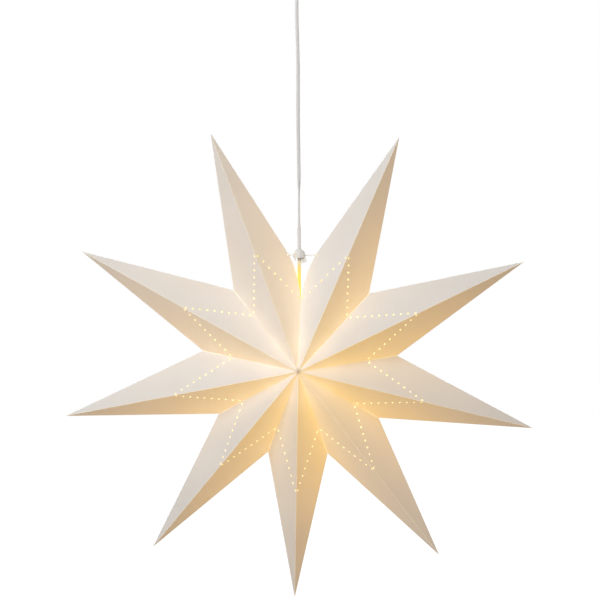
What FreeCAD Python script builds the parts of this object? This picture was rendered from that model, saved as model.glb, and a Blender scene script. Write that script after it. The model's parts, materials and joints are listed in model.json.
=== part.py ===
import FreeCAD, Part
import math
import os

os.makedirs("parts", exist_ok=True)

# A folded paper star that hangs from the ceiling on its flat flex, with a lamp holder and a bulb inside.
# Millimetres. +Z is up, the star faces -Y. The origin is on the ceiling, where the bracket is screwed.

ROUND_SIDES = 24              # of a turned piece that is made with flat sides

# ---------------------------------------------------------------- star
POINT_COUNT = 9
TIP_RADIUS = 350.0            # star centre to the tip of a point
NOTCH_RADIUS = 140.0          # star centre to the notch between two points
HALF_DEPTH = 90.0             # star centre to the front apex
PAPER = 0.4                   # card thickness
BOTTOM_HALF_ANGLE = 18.0      # half the opening of the lowest point, in degrees
HALF_ANGLE_STEP = 0.85        # each point higher up opens this much more per half
GAP_HALF_ANGLE = 7.0          # half the opening of the gap between the two top points
GAP_CORNER_RADIUS = 155.0     # star centre to the corner where an end flap is hung
FLAP_MEETING_RADIUS = 84.0    # below this the two end flaps touch along the slit
FLAP_CURVE_SWELL = 6.0        # how far the curved edge of an end flap stands off its chord
GLUE_FLANGE = 12.0            # width of the folded-in glue flange of each seam
FLANGE_END_GAP = 6.0          # bare length at both ends of a glue flange
FLANGE_SLANT = 1.25           # how far its ends slant, for each millimetre of width
STAR_LEAN = 1.6               # degrees that the star hangs off plumb

HOLE_RADIUS = 1.65            # punched dots
HOLE_SIDES = 6
HOLE_PITCH = 10.4
PUNCH_REACH = 3.0             # how far a punch reaches to either side of the card
RIDGE_SHARE = 0.525           # where a dotted line starts, as a share of the ridge
TOP_RIDGE_SHARE = 0.49        # the same on the two top points
VALLEY_SHARE = 0.68           # where a dotted line ends, as a share of the valley
SLIT_DOT_RADIUS = 92.0        # where the inner dotted line of a top point ends

CLIP_WALL = 0.8
CLIP_LENGTH = 14.0
CLIP_GRIP = 5.0               # how far a clip reaches over the end flanges

# ---------------------------------------------------------------- drop
STAR_DROP = 590.0             # ceiling to the star centre
CORD_DIAMETER = 5.0           # the flex is flat: this is its width
CORD_GAP = 0.25               # free gap round the cord in what slides or swings on it

# ---------------------------------------------------------------- hanger
WIRE_RADIUS = 0.85
WIRE_GAP = 0.1
WIRE_LEG = 8.0                # length of the turned-down inner end
WIRE_HEAD_RADIUS = 1.5
WIRE_HEAD = 1.0
WIRE_HEAD_GAP = 0.4
EYELET_RADIUS = 2.4
EYELET_LENGTH = 5.0
CAP_RADIUS = 8.5
CAP_TOP_RADIUS = 4.2
CAP_HEIGHT = 16.0
CAP_WALL = 1.3
CAP_HOLLOW = 7.0              # depth of the hollow under the cap
CAP_RIM = 5.5                 # height of its straight rim
CAP_SHOULDER = 9.5            # height of its shoulder
WIRE_LIFT = 0.3               # room above the wires in the cap's slots
LOCK_SCREW_HEIGHT = 9.0       # lock screw above the cap's rim
CAP_BELOW_WIRE = 3.6
LEG_RADIUS = 5.6              # cord axis to a turned-down wire end
BLOCK_WIDTH = 7.6
BLOCK_HEIGHT = 8.0
BLOCK_SLOPE = 1.6
BLOCK_DEPTH = 7.0
BLOCK_SHIFT = 1.1             # the block's middle, outward of the wire's leg
LOCK_SCREW_RADIUS = 1.5
LOCK_SCREW_HEAD_RADIUS = 2.3
LOCK_SCREW_HEAD = 1.8
SCREW_SLOT = 0.7              # depth of a driver's slot

# ---------------------------------------------------------------- lamp holder and bulb
BULB_RADIUS = 22.5
BULB_BANDS = 9
BULB_NECK_Z = 18.0            # heights from here on are above the star centre
COLLAR_TOP_Z = 32.0
SCREW_CAP_TOP_Z = 52.0
CONTACT_TOP_Z = 56.3
SCREW_RADIUS = 7.0            # outside of the bulb's screw cap
INSULATOR_RADIUS = 5.0
CONTACT_RADIUS = 2.6
CONTACT_HEIGHT = 1.3
SHELL_GAP = 0.25
SHELL_WALL = 0.5
SKIRT_BOTTOM_Z = 34.0
SKIRT_TOP_Z = 74.0
SKIRT_RADIUS = 14.5
SKIRT_TOP_RADIUS = 15.5
SKIRT_WALL = 1.6
SKIRT_BAND = 7.0              # height of the thicker band at the skirt's top
INSERT_GAP = 0.4
INSERT_RISE = 3.0             # how far the insert stands into the holder's cap
INSERT_DEPTH = 6.0            # skirt's lower edge to the insert's lower edge
GRIP_ROOM = 9.0               # height of the hollow in the holder's cap
HOLDER_TOP_Z = 95.0
CAP_NECK_RADIUS = 5.5
TERMINAL_SCREW_RADIUS = 1.8
TERMINAL_SCREW_HEAD = 2.2
TERMINAL_SCREW_OFFSET = 7.5
TERMINAL_SEAT_Z = SKIRT_TOP_Z - 2.0
SHELL_TOP_Z = CONTACT_TOP_Z + 2.0

# ---------------------------------------------------------------- ceiling rose
ROSE_RADIUS = 42.0
ROSE_HEIGHT = 46.0
ROSE_RIM = 16.0               # height of the rose's straight rim
ROSE_TAPER = 9.0              # how much narrower it is where its nose starts
ROSE_NOSE = 12.0              # height of the nose
ROSE_WALL = 2.0
ROSE_NOSE_RADIUS = 12.0
ROSE_GAP = 0.5                # between the bracket and the rose
BUSH_RADIUS = 7.0
BUSH_FLANGE_RADIUS = 9.5
BUSH_FLANGE = 2.0
BUSH_LENGTH = 16.0
BUSH_RISE = 5.0               # its upper end above the point where the cord swings
BUSH_MOUTH_RADIUS = 5.0
BRACKET_WIDTH = 22.0
BRACKET_THICKNESS = 2.0
BRACKET_EAR = 12.0
BRACKET_LEG = 26.0
BRACKET_LEG_WIDTH = 24.0
CEILING_HOLE_SPACING = 50.0
CEILING_HOLE_RADIUS = 2.25
SIDE_SCREW_RADIUS = 1.5
PAN_HEAD_RADIUS = 2.8
PAN_HEAD = 2.0                # height of the head
SIDE_SCREW_Z = 8.0            # below the ceiling
SADDLE_HEIGHT = 9.0
SADDLE_WALL = 2.0
SADDLE_SCREW_OFFSET = 7.5
BLOCK_LENGTH = 18.0
BLOCK_TALL = 11.0
BLOCK_THICK = 10.0
BLOCK_FRONT = 11.0            # its front face, in front of the cord's axis
BLOCK_WAIST = 2.5             # depth of the groove between its two rows of screws
BLOCK_SCREW_INSET = 5.0
BLOCK_SCREW_RADIUS = 1.6
BLOCK_SCREW_HEAD = 0.8
CORE_RADIUS = 1.1
CORE_SPREAD = 1.4             # half the distance between the two cores at the block
TAIL_STUB = 3.0               # cord above its saddle
SWING_GAP = 0.9               # free gap between the fixed and the swinging length of cord

# The free cord, from the rose down to the lamp holder: chosen by hand, x and z, with y = 0.
SWING_Z = -(ROSE_HEIGHT - 2.0)
HOLDER_TOP = HOLDER_TOP_Z - STAR_DROP
CORD_ROUTE = [
    (0.0, SWING_Z - SWING_GAP),
    (-2.0, -84.0),
    (0.4, -163.0),
    (-0.5, -248.0),
    (0.5, -318.0),
    (0.0, -384.0),
    (0.0, HOLDER_TOP),
]

V = FreeCAD.Vector
X = V(1, 0, 0)
Y = V(0, 1, 0)
Z = V(0, 0, 1)
MITRED = 1                    # corner style of a swept piece


# ---------------------------------------------------------------- helpers
def save(name, solids):
    shape = solids[0] if len(solids) == 1 else Part.makeCompound(solids)
    shape.exportStep("parts/" + name + ".step")
    print(name, "solids", len(shape.Solids), "volume", round(shape.Volume, 1))


def turned(profile):
    """A solid turned about Z from (radius, z) points."""
    points = [V(r, 0, z) for r, z in profile]
    wire = Part.makePolygon(points + [points[0]])
    return Part.Face(wire).revolve(V(0, 0, 0), Z, 360)


def flat_sided(profile):
    """The same as turned, but with flat sides that touch the round from outside."""
    reach = 1.0 / math.cos(math.pi / ROUND_SIDES)
    turns = [math.pi * (2 * side + 1) / ROUND_SIDES for side in range(ROUND_SIDES)]
    faces = []
    for low, high in zip(profile, profile[1:] + profile[:1]):
        if low[0] == 0 and high[0] == 0:
            continue
        for first, second in zip(turns, turns[1:] + turns[:1]):
            rim = []
            for (radius, z), turn in ((low, first), (low, second), (high, second), (high, first)):
                corner = V(radius * reach * math.cos(turn), radius * reach * math.sin(turn), z)
                if corner not in rim:
                    rim.append(corner)
            faces.append(Part.Face(Part.makePolygon(rim + [rim[0]])))
    solid = Part.Solid(Part.Shell(faces))
    if solid.Volume < 0:
        solid.reverse()
    return solid.removeSplitter()


def rod(start, end, radius):
    along = end - start
    return Part.makeCylinder(radius, along.Length, start, along)


def block(low, high):
    size = high - low
    return Part.makeBox(size.x, size.y, size.z, low)


def polyhedron(outer, inner):
    """A solid between two wires that have their edges in the same order."""
    return Part.makeLoft([outer, inner], True, True)


def on_star(shape):
    """Puts a shape made round the star centre where the star hangs."""
    placed = shape.copy()
    placed.rotate(V(0, 0, 0), Y, STAR_LEAN)
    placed.translate(V(0, 0, -STAR_DROP))
    return placed


def at_star_height(shape):
    placed = shape.copy()
    placed.translate(V(0, 0, -STAR_DROP))
    return placed


def ray(angle, radius):
    """A point in the star's middle plane, by its angle clockwise from the top."""
    turn = math.radians(angle)
    return V(radius * math.sin(turn), 0, radius * math.cos(turn))


# ---------------------------------------------------------------- star
def point_layout():
    """Each point as (left seam, tip, right seam) angles, from the top right one clockwise."""
    halves = [BOTTOM_HALF_ANGLE + HALF_ANGLE_STEP * step for step in range(5)]
    spare = 180.0 - GAP_HALF_ANGLE - halves[0] - 2 * sum(halves[1:4]) - halves[4]
    right = []
    angle = GAP_HALF_ANGLE
    for left_half, right_half in [(spare, halves[4]), *[(h, h) for h in reversed(halves[1:4])]]:
        right.append((angle, angle + left_half, angle + left_half + right_half))
        angle += left_half + right_half
    lowest = (angle, 180.0, 360.0 - angle)
    left = [(360.0 - c, 360.0 - b, 360.0 - a) for a, b, c in reversed(right)]
    return right + [lowest] + left


def face_normal(apex, tip, root):
    normal = (tip - apex).cross(root - apex)
    normal.normalize()
    return normal


def dots(start, end, normal, count):
    """Punches for a dotted line, half a pitch clear of both ends."""
    across = normal.cross(end - start)
    across.normalize()
    along = across.cross(normal)
    punches = []
    for index in range(count):
        centre = start + (end - start) * ((index + 0.5) / count) - normal * PUNCH_REACH
        rim = []
        for corner in range(HOLE_SIDES + 1):
            turn = 2 * math.pi * corner / HOLE_SIDES
            rim.append(centre + (across * math.cos(turn) + along * math.sin(turn)) * HOLE_RADIUS)
        punches.append(Part.Face(Part.makePolygon(rim)).extrude(normal * (2 * PUNCH_REACH)))
    return Part.makeCompound(punches)


def seam_panel(apex, tip, root, ridge_share):
    """One flat face of a point, mitred along its ridge, its seam and the star's outline."""
    normal = face_normal(apex, tip, root)
    shrink = 1.0 - PAPER / abs(normal.dot(apex))
    outer = Part.makePolygon([apex, tip, root, apex])
    inner = Part.makePolygon([apex * shrink, tip * shrink, root * shrink, apex * shrink])
    start = apex + (tip - apex) * ridge_share
    end = apex + (root - apex) * VALLEY_SHARE
    count = round((end - start).Length / HOLE_PITCH)
    return polyhedron(outer, inner).cut(dots(start, end, normal, count))


def slit_point(apex, tip, corner):
    """Where the plane of an end flap meets the slit, at the height of the gap's corner."""
    normal = face_normal(apex, tip, corner)
    return V(0, apex.y - normal.z * corner.z / normal.y, corner.z)


def slit_meeting(apex, tip, corner):
    """The upper end of the slit's closed length."""
    upper = slit_point(apex, tip, corner)
    return apex + (upper - apex) * (FLAP_MEETING_RADIUS / upper.z)


def flap_outline(apex, tip, corner):
    """The outer face of an end flap: straight along the slit, then curved out to the corner."""
    meeting = slit_meeting(apex, tip, corner)
    chord = corner - meeting
    upward = slit_point(apex, tip, corner) - meeting
    swell = upward - chord * (upward.dot(chord) / chord.dot(chord))
    swell.normalize()
    middle = meeting + chord * 0.5 + swell * FLAP_CURVE_SWELL
    return Part.Wire([
        Part.LineSegment(apex, meeting).toShape(),
        Part.Arc(meeting, middle, corner).toShape(),
        Part.LineSegment(corner, tip).toShape(),
        Part.LineSegment(tip, apex).toShape(),
    ])


def flap_panel(apex, tip, corner):
    """An end flap beside the gap, with its curved free edge, mitred along its ridge."""
    normal = face_normal(apex, tip, corner)
    inward = normal * math.copysign(1.0, -normal.dot(apex))
    plate = Part.Face(flap_outline(apex, tip, corner)).extrude(inward * PAPER)
    room = 2 * TIP_RADIUS
    low = V(0 if corner.x > 0 else -room, 0 if apex.y > 0 else -room, -room)
    own_quarter = block(low, low + V(room, room, 2 * room))
    across = tip.cross(Y)
    across.normalize()
    own_side = Part.makeBox(room, room, room, V(-room / 2, -room / 2, 0))
    own_side.Placement = FreeCAD.Placement(
        V(0, 0, 0),
        FreeCAD.Rotation(Z, across * math.copysign(1.0, across.dot(corner))),
    )
    upper = slit_point(apex, tip, corner)
    start = apex + (tip - apex) * TOP_RIDGE_SHARE
    end = apex + (upper - apex) * (SLIT_DOT_RADIUS / upper.z)
    count = round((end - start).Length / HOLE_PITCH) - 1
    return plate.common(own_quarter).common(own_side).cut(dots(start, end, normal, count))


def flange(apex, root, side):
    """A glue flange folded in along a seam, on one side of the seam's plane."""
    along = root - apex
    length = along.Length
    along.normalize()
    across = along.cross(V(root.x, 0, root.z)).cross(along)
    across.normalize()
    if across.y * apex.y > 0:
        across = across * -1.0
    start = apex + along * FLANGE_END_GAP + across * (PAPER * 1.5)
    end = apex + along * (length - FLANGE_END_GAP) + across * (PAPER * 1.5)
    slant = along * (GLUE_FLANGE * FLANGE_SLANT)
    corners = [start, end, end + across * GLUE_FLANGE - slant, start + across * GLUE_FLANGE + slant]
    face = Part.Face(Part.makePolygon(corners + [start]))
    return face.extrude(side * PAPER)


def star_point(number, layout):
    """The four flat faces of a point, each with its glue flange."""
    left, tip_angle, right = layout
    is_top = number in (1, POINT_COUNT)
    tip = ray(tip_angle, TIP_RADIUS)
    solids = []
    for depth in (-HALF_DEPTH, HALF_DEPTH):
        apex = V(0, depth, 0)
        for seam in (left, right):
            beside_gap = is_top and ray(seam, 1.0).z > math.cos(math.radians(2 * GAP_HALF_ANGLE))
            if beside_gap:
                corner = ray(seam, GAP_CORNER_RADIUS)
                panel = flap_panel(apex, tip, corner)
                for side in (1.0, -1.0):
                    panel = panel.cut(eyelet_seat(side))
                seam_end = slit_meeting(apex, tip, corner)
                toward_tip = X * math.copysign(1.0, corner.x)
            else:
                seam_end = ray(seam, NOTCH_RADIUS)
                panel = seam_panel(apex, tip, seam_end, TOP_RIDGE_SHARE if is_top else RIDGE_SHARE)
                toward_tip = ray(seam + 90.0, 1.0) * math.copysign(1.0, tip_angle - seam)
            solids += panel.Solids
            solids.append(flange(apex, seam_end, toward_tip))
    return [on_star(solid) for solid in solids]


# ---------------------------------------------------------------- hanger, in the star's own frame
GAP_CORNER = ray(GAP_HALF_ANGLE, GAP_CORNER_RADIUS)
WIRE_Z = GAP_CORNER.z
LOCK_SHIFT = -WIRE_Z * math.tan(math.radians(STAR_LEAN))   # the cord runs this far off the gap's middle


def eyelet_seat(side, radius=EYELET_RADIUS):
    start = V(side * (GAP_CORNER.x - 0.5), 0, WIRE_Z)
    return rod(start, start + X * (side * EYELET_LENGTH), radius)


def eyelet(side):
    bore = eyelet_seat(side, WIRE_RADIUS + WIRE_GAP)
    return on_star(eyelet_seat(side).cut(bore))


def hanger_wire(side):
    """A wire from an eyelet to the lock, turned down inside the lock's cap."""
    leg_x = LOCK_SHIFT + side * LEG_RADIUS
    outer_x = side * (GAP_CORNER.x - 0.5 + EYELET_LENGTH + WIRE_HEAD_GAP)
    outer = V(outer_x, 0, WIRE_Z)
    path = Part.makePolygon([outer, V(leg_x, 0, WIRE_Z), V(leg_x, 0, WIRE_Z - WIRE_LEG)])
    section = Part.Wire(Part.makeCircle(WIRE_RADIUS, outer, X))
    wire = path.makePipeShell([section], True, False, MITRED)
    head = rod(outer, outer + X * (side * WIRE_HEAD), WIRE_HEAD_RADIUS)
    return on_star(wire.fuse(head).removeSplitter())


def wire_at_lock_z():
    """Height of the wires where they cross the cord, above the star centre."""
    return WIRE_Z / math.cos(math.radians(STAR_LEAN))


CAP_BOTTOM_Z = wire_at_lock_z() - CAP_BELOW_WIRE


def lock_cap():
    """A hollow dome on the cord, slotted at its rim for the two wires."""
    bore = CORD_DIAMETER / 2 + CORD_GAP
    hollow_radius = CAP_RADIUS - CAP_WALL
    base = CAP_BOTTOM_Z
    profile = [
        (0, base + CAP_HOLLOW), (hollow_radius, base + CAP_HOLLOW), (hollow_radius, base),
        (CAP_RADIUS, base), (CAP_RADIUS, base + CAP_RIM), (CAP_RADIUS - 1.5, base + CAP_SHOULDER),
        (CAP_TOP_RADIUS, base + CAP_HEIGHT - 2.5), (CAP_TOP_RADIUS, base + CAP_HEIGHT),
        (0, base + CAP_HEIGHT),
    ]
    slot_half = WIRE_RADIUS + WIRE_GAP
    slot = block(
        V(-CAP_RADIUS - 1, -slot_half, base - 1),
        V(CAP_RADIUS + 1, slot_half, wire_at_lock_z() + slot_half + WIRE_LIFT),
    )
    cord_hole = rod(V(0, 0, base), V(0, 0, base + CAP_HEIGHT + 1), bore)
    screw_hole = rod(V(0, 0, screw_z()), V(0, CAP_RADIUS + 1, screw_z()), LOCK_SCREW_RADIUS)
    return at_star_height(flat_sided(profile).cut(slot).cut(cord_hole).cut(screw_hole))


def screw_z():
    return CAP_BOTTOM_Z + LOCK_SCREW_HEIGHT


def lock_block():
    """The sloped stop under the cap, on the right wire's leg."""
    top = CAP_BOTTOM_Z
    left = LEG_RADIUS - BLOCK_WIDTH / 2 + BLOCK_SHIFT
    right = left + BLOCK_WIDTH
    outline = [
        V(left, 0, top), V(right - 0.8, 0, top), V(right, 0, top - BLOCK_HEIGHT + BLOCK_SLOPE),
        V(left, 0, top - BLOCK_HEIGHT),
    ]
    face = Part.Face(Part.makePolygon(outline + [outline[0]]))
    face.translate(Y * (-BLOCK_DEPTH / 2))
    return at_star_height(face.extrude(Y * BLOCK_DEPTH)).cut(hanger_wire(1.0))


def lock_screw():
    z = screw_z()
    tip = CORD_DIAMETER / 2 + CORD_GAP + 0.05
    top = CAP_RADIUS + LOCK_SCREW_HEAD
    shank = rod(V(0, tip, z), V(0, CAP_RADIUS, z), LOCK_SCREW_RADIUS - 0.05)
    head = rod(V(0, CAP_RADIUS, z), V(0, top, z), LOCK_SCREW_HEAD_RADIUS)
    slot = block(V(-3, top - SCREW_SLOT, z - 0.4), V(3, top + 1, z + 0.4))
    return at_star_height(shank.fuse(head).cut(slot).removeSplitter())


def closing_clip(depth):
    """A channel that grips the two end flanges together, inside the star below the slit."""
    apex = V(0, depth, 0)
    layout = point_layout()[0]
    corner = ray(layout[0], GAP_CORNER_RADIUS)
    along = slit_meeting(apex, ray(layout[1], TIP_RADIUS), corner) - apex
    length = along.Length
    along.normalize()
    across = V(0, along.z, -along.y)
    if across.y * depth > 0:
        across = across * -1.0
    inner_edge = apex + along * (length / 2) + across * (PAPER * 1.5 + GLUE_FLANGE)
    half = PAPER + CLIP_WALL
    profile = [
        (-half, CLIP_WALL), (half, CLIP_WALL), (half, -CLIP_GRIP), (PAPER, -CLIP_GRIP),
        (PAPER, 0.0), (-PAPER, 0.0), (-PAPER, -CLIP_GRIP), (-half, -CLIP_GRIP),
    ]
    start = inner_edge - along * (CLIP_LENGTH / 2)
    corners = [start + X * x + across * u for x, u in profile]
    face = Part.Face(Part.makePolygon(corners + [corners[0]]))
    return on_star(face.extrude(along * CLIP_LENGTH))


# ---------------------------------------------------------------- cord
def smooth_path(points):
    """Straight runs joined by tangent arcs that take most of the shorter run."""
    edges = []
    at = points[0]
    for before, here, after in zip(points, points[1:], points[2:]):
        back = before - here
        ahead = after - here
        trimmed = 0.45 * min(back.Length, ahead.Length)
        half_turn = (math.pi - back.getAngle(ahead)) / 2
        radius = trimmed / math.tan(half_turn)
        sagitta = radius / math.cos(half_turn) - radius
        back.normalize()
        ahead.normalize()
        inward = back + ahead
        inward.normalize()
        leave = here + ahead * trimmed
        edges.append(Part.LineSegment(at, here + back * trimmed).toShape())
        edges.append(Part.Arc(here + back * trimmed, here + inward * sagitta, leave).toShape())
        at = leave
    edges.append(Part.LineSegment(at, points[-1]).toShape())
    return Part.Wire(edges)


def pendant_cord():
    points = [V(x, 0, z) for x, z in CORD_ROUTE]
    path = smooth_path(points)
    section = Part.Wire(Part.makeCircle(CORD_DIAMETER / 2, points[0], points[1] - points[0]))
    print("cord length", round(path.Length, 1))
    return path.makePipeShell([section], True, False)


# ---------------------------------------------------------------- lamp holder
def holder_cap():
    radius = SKIRT_TOP_RADIUS
    room = SKIRT_RADIUS - SKIRT_WALL
    base = SKIRT_TOP_Z
    profile = [
        (0, base + GRIP_ROOM), (room - 4.0, base + GRIP_ROOM), (room, base + INSERT_RISE), (room, base),
        (radius, base), (radius, base + 4.0), (radius - 4.0, base + 11.0),
        (CAP_NECK_RADIUS, base + 15.0), (CAP_NECK_RADIUS, HOLDER_TOP_Z), (0, HOLDER_TOP_Z),
    ]
    return at_star_height(flat_sided(profile))


def holder_skirt():
    bottom = SKIRT_BOTTOM_Z
    top = SKIRT_TOP_Z
    inner = SKIRT_RADIUS - SKIRT_WALL
    profile = [
        (inner, bottom), (SKIRT_RADIUS, bottom), (SKIRT_RADIUS, top - SKIRT_BAND),
        (SKIRT_TOP_RADIUS, top - SKIRT_BAND), (SKIRT_TOP_RADIUS, top), (inner, top),
    ]
    return at_star_height(turned(profile))


def insert_radius():
    return SKIRT_RADIUS - SKIRT_WALL - INSERT_GAP


def holder_insert():
    shell = SCREW_RADIUS + SHELL_GAP + SHELL_WALL
    low = SKIRT_BOTTOM_Z + INSERT_DEPTH
    top = SKIRT_TOP_Z + INSERT_RISE
    profile = [
        (shell, low), (insert_radius(), low), (insert_radius(), top),
        (0, top), (0, SHELL_TOP_Z), (shell, SHELL_TOP_Z),
    ]
    body = turned(profile)
    for side in (1.0, -1.0):
        x = side * TERMINAL_SCREW_OFFSET
        body = body.cut(rod(V(x, 0, TERMINAL_SEAT_Z), V(x, 0, top + 1), TERMINAL_SCREW_RADIUS + 0.4))
    return at_star_height(body)


def screw_shell():
    inner = SCREW_RADIUS + SHELL_GAP
    outer = inner + SHELL_WALL
    low = SKIRT_BOTTOM_Z + INSERT_DEPTH
    return at_star_height(turned([(inner, low), (outer, low), (outer, SHELL_TOP_Z), (inner, SHELL_TOP_Z)]))


def centre_contact():
    top = SHELL_TOP_Z
    spring = block(V(-5.5, -1.8, top - 0.5), V(5.5, 1.8, top))
    dimple = rod(V(0, 0, CONTACT_TOP_Z + 0.3), V(0, 0, top - 0.5), 1.5)
    return at_star_height(spring.fuse(dimple).removeSplitter())


def terminal_screw(side):
    x = side * TERMINAL_SCREW_OFFSET
    top = TERMINAL_SEAT_Z + TERMINAL_SCREW_HEAD
    head = rod(V(x, 0, TERMINAL_SEAT_Z), V(x, 0, top), TERMINAL_SCREW_RADIUS)
    slot = block(V(x - 3, -0.35, top - SCREW_SLOT), V(x + 3, 0.35, top + 1))
    return at_star_height(head.cut(slot))


def cord_grip():
    """The clamp under the holder's cap that keeps the pull off the terminals."""
    low = SKIRT_TOP_Z + INSERT_RISE
    high = SKIRT_TOP_Z + GRIP_ROOM - 0.5
    return at_star_height(block(V(-5.0, -3.5, low), V(5.0, 3.5, high)))


# ---------------------------------------------------------------- bulb
def bulb_glass():
    """The globe as a stack of narrow tapered bands between its foot and its collar."""
    foot = math.radians(-90.0)
    neck = math.asin(BULB_NECK_Z / BULB_RADIUS)
    profile = []
    for band in range(BULB_BANDS + 1):
        height = foot + (neck - foot) * band / BULB_BANDS
        radius = BULB_RADIUS * math.cos(height) if band else 0
        profile.append((radius, BULB_RADIUS * math.sin(height)))
    return at_star_height(flat_sided(profile + [(0, BULB_NECK_Z)]))


def bulb_collar():
    rim = math.sqrt(BULB_RADIUS**2 - BULB_NECK_Z**2)
    neck = SCREW_RADIUS + 1.2
    profile = [
        (0, BULB_NECK_Z), (rim, BULB_NECK_Z), (neck, COLLAR_TOP_Z - 3.0),
        (neck, COLLAR_TOP_Z), (0, COLLAR_TOP_Z),
    ]
    return at_star_height(flat_sided(profile))


def bulb_screw_cap():
    return at_star_height(rod(V(0, 0, COLLAR_TOP_Z), V(0, 0, SCREW_CAP_TOP_Z), SCREW_RADIUS))


def bulb_insulator():
    top = CONTACT_TOP_Z - CONTACT_HEIGHT
    return at_star_height(rod(V(0, 0, SCREW_CAP_TOP_Z), V(0, 0, top), INSULATOR_RADIUS))


def bulb_contact():
    low = V(0, 0, CONTACT_TOP_Z - CONTACT_HEIGHT)
    return at_star_height(rod(low, V(0, 0, CONTACT_TOP_Z), CONTACT_RADIUS))


# ---------------------------------------------------------------- ceiling rose
def bracket_half():
    """Half the bracket's length, so that its corners clear the rose."""
    return math.sqrt((ROSE_RADIUS - ROSE_WALL) ** 2 - (BRACKET_WIDTH / 2) ** 2) - ROSE_GAP


def ceiling_bracket():
    """A strip on the ceiling with an ear at both ends and a leg that the cord is clamped to."""
    half = bracket_half()
    wide = BRACKET_WIDTH / 2
    thick = BRACKET_THICKNESS
    body = block(V(-half, -wide, -thick), V(half, wide, 0))
    leg_half = BRACKET_LEG_WIDTH / 2
    face_y = CORD_DIAMETER / 2
    body = body.fuse(block(V(-leg_half, face_y, -BRACKET_LEG), V(leg_half, face_y + thick, -thick)))
    for side in (1.0, -1.0):
        ear_middle = side * (half - thick / 2)
        low = V(ear_middle - thick / 2, -wide / 2, -BRACKET_EAR)
        body = body.fuse(block(low, low + V(thick, wide, BRACKET_EAR - thick)))
    for side in (1.0, -1.0):
        ceiling_x = side * CEILING_HOLE_SPACING / 2
        body = body.cut(rod(V(ceiling_x, 0, -thick - 1), V(ceiling_x, 0, 1), CEILING_HOLE_RADIUS))
        ear = V(side * (half - thick - 1), 0, -SIDE_SCREW_Z)
        body = body.cut(rod(ear, ear + X * (side * (thick + 2)), SIDE_SCREW_RADIUS))
        saddle = V(side * SADDLE_SCREW_OFFSET, 0, saddle_z())
        body = body.cut(rod(saddle, saddle + Y * (face_y + thick + 1), SIDE_SCREW_RADIUS))
    return body.removeSplitter()


def saddle_z():
    return -BRACKET_LEG + SADDLE_HEIGHT / 2 + 1.0


def cord_saddle():
    """A strap over the cord, screwed to the bracket's leg."""
    z = saddle_z()
    half = SADDLE_SCREW_OFFSET + 3.5
    bore = CORD_DIAMETER / 2
    front = -bore - SADDLE_WALL
    body = block(V(-half, front, z - SADDLE_HEIGHT / 2), V(half, bore, z + SADDLE_HEIGHT / 2))
    body = body.cut(rod(V(0, 0, z - SADDLE_HEIGHT), V(0, 0, z + SADDLE_HEIGHT), bore))
    body = body.cut(block(V(-bore, 0, z - SADDLE_HEIGHT), V(bore, bore + 1, z + SADDLE_HEIGHT)))
    for side in (1.0, -1.0):
        start = V(side * SADDLE_SCREW_OFFSET, front - 1, z)
        body = body.cut(rod(start, start + Y * (bore - front + 2), SIDE_SCREW_RADIUS))
    return body


def pan_screw(seat, along, length):
    """A pan head screw with its head's seat at the given point."""
    shank = rod(seat, seat + along * length, SIDE_SCREW_RADIUS)
    head = rod(seat - along * PAN_HEAD, seat, PAN_HEAD_RADIUS)
    return shank.fuse(head).removeSplitter()


def saddle_screws():
    front = -CORD_DIAMETER / 2 - SADDLE_WALL
    length = CORD_DIAMETER + SADDLE_WALL + BRACKET_THICKNESS
    return [pan_screw(V(side * SADDLE_SCREW_OFFSET, front, saddle_z()), Y, length) for side in (1.0, -1.0)]


def rose_screws():
    length = ROSE_RADIUS - bracket_half() + BRACKET_THICKNESS
    return [pan_screw(V(side * ROSE_RADIUS, 0, -SIDE_SCREW_Z), X * -side, length) for side in (1.0, -1.0)]


def rose_profile(inset):
    radius = ROSE_RADIUS - inset
    nose = -ROSE_HEIGHT + inset
    nose_start = (radius - ROSE_TAPER, nose + ROSE_NOSE)
    return [(radius, 0), (radius, -ROSE_RIM), nose_start, (ROSE_NOSE_RADIUS, nose)]


def ceiling_rose():
    """A cup over the bracket, screwed to its ears, with the cord's bush in its nose."""
    outside = rose_profile(0.0) + [(0, -ROSE_HEIGHT)]
    inside = rose_profile(ROSE_WALL) + [(0, -ROSE_HEIGHT + ROSE_WALL)]
    cup = flat_sided(outside + inside[::-1])
    cup = cup.cut(rod(V(0, 0, -ROSE_HEIGHT - 1), V(0, 0, -ROSE_HEIGHT + ROSE_WALL + 1), BUSH_RADIUS))
    for side in (1.0, -1.0):
        start = V(side * (ROSE_RADIUS - ROSE_WALL - 1), 0, -SIDE_SCREW_Z)
        cup = cup.cut(rod(start, start + X * (side * (ROSE_WALL + 2)), SIDE_SCREW_RADIUS))
    return cup


def neck_bush():
    """The bush in the rose's nose, with a flared mouth that the cord swings in."""
    bore = CORD_DIAMETER / 2
    top = SWING_Z + BUSH_RISE
    bottom = top - BUSH_LENGTH
    seat = -ROSE_HEIGHT
    collar = turned([(0, seat), (BUSH_RADIUS, seat), (BUSH_RADIUS, top), (0, top)])
    flared = flat_sided([
        (0, bottom), (BUSH_MOUTH_RADIUS + 1.0, bottom), (BUSH_FLANGE_RADIUS, seat - BUSH_FLANGE),
        (BUSH_FLANGE_RADIUS, seat), (0, seat),
    ])
    mouth = flat_sided([
        (0, bottom - 1), (BUSH_MOUTH_RADIUS, bottom - 1), (bore + CORD_GAP, SWING_Z), (0, SWING_Z),
    ])
    cord_hole = rod(V(0, 0, bottom), V(0, 0, top + 1), bore)
    return collar.fuse(flared).cut(mouth).cut(cord_hole).removeSplitter()


def cord_tail():
    top = saddle_z() + SADDLE_HEIGHT / 2 + TAIL_STUB
    return rod(V(0, 0, SWING_Z), V(0, 0, top), CORD_DIAMETER / 2)


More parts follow.
